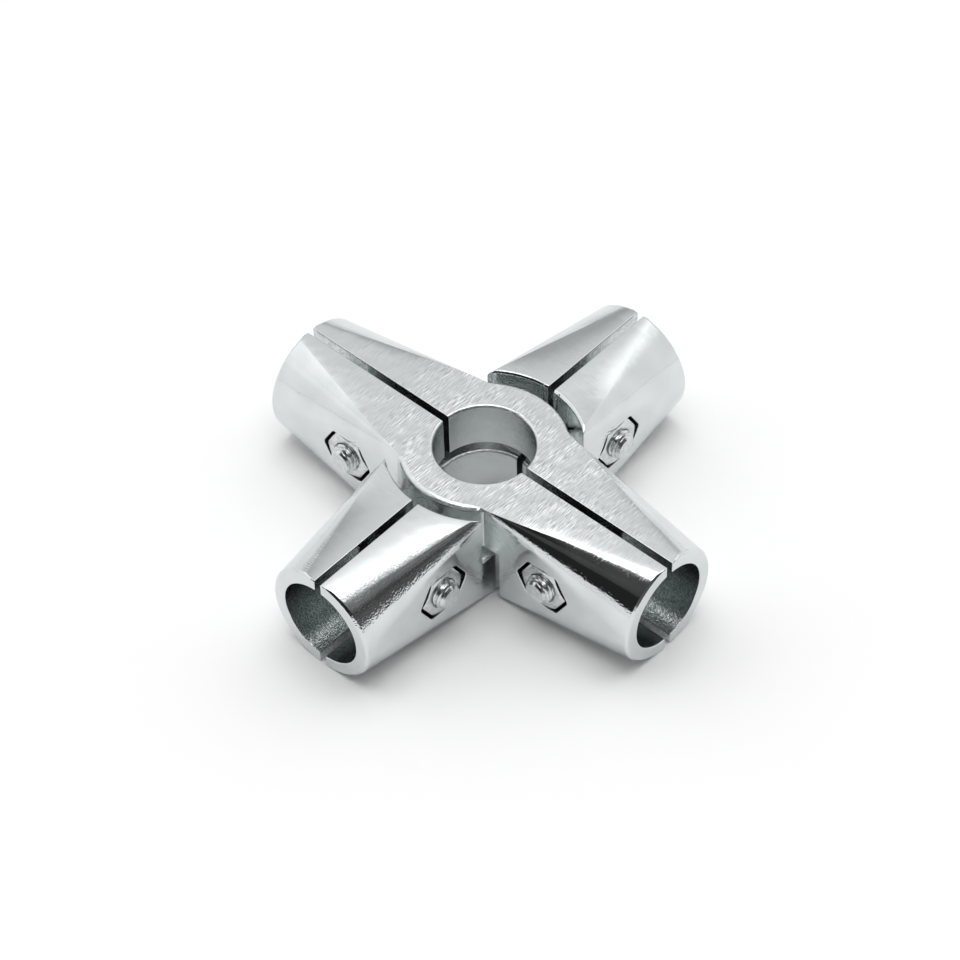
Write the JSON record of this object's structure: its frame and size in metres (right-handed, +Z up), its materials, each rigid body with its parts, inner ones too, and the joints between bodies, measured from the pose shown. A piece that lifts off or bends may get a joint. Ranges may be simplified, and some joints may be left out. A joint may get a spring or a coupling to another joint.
{
  "type": "cross tube connector",
  "caption": "Chromed split-clamp cross connector: nested clamp pairs meet in a half lap round a hub, with round tube sockets at the ends of the arms and hexagon bolts closing the halves.",
  "frame": {"origin": "on the hub axis, in the plane the connector rests on", "axes": "+Z up along the hub axis; X along the arms of the upper pair, Y along the arms of the lower pair"},
  "size_m": [0.126, 0.126, 0.032],
  "materials": {
    "casting": "polished chrome plate on a casting, with fine grinding scratches on the flats",
    "fastener": "zinc-plated steel"
  },
  "bodies": {
    "root": {"upper_front_half": "casting", "upper_rear_half": "casting", "lower_left_half": "casting", "lower_right_half": "casting", "upper_left_bolt": "fastener", "upper_right_bolt": "fastener", "lower_front_bolt": "fastener", "lower_rear_bolt": "fastener", "upper_left_nut": "fastener", "upper_right_nut": "fastener", "lower_front_nut": "fastener", "lower_rear_nut": "fastener"}
  },
  "joints": []
}
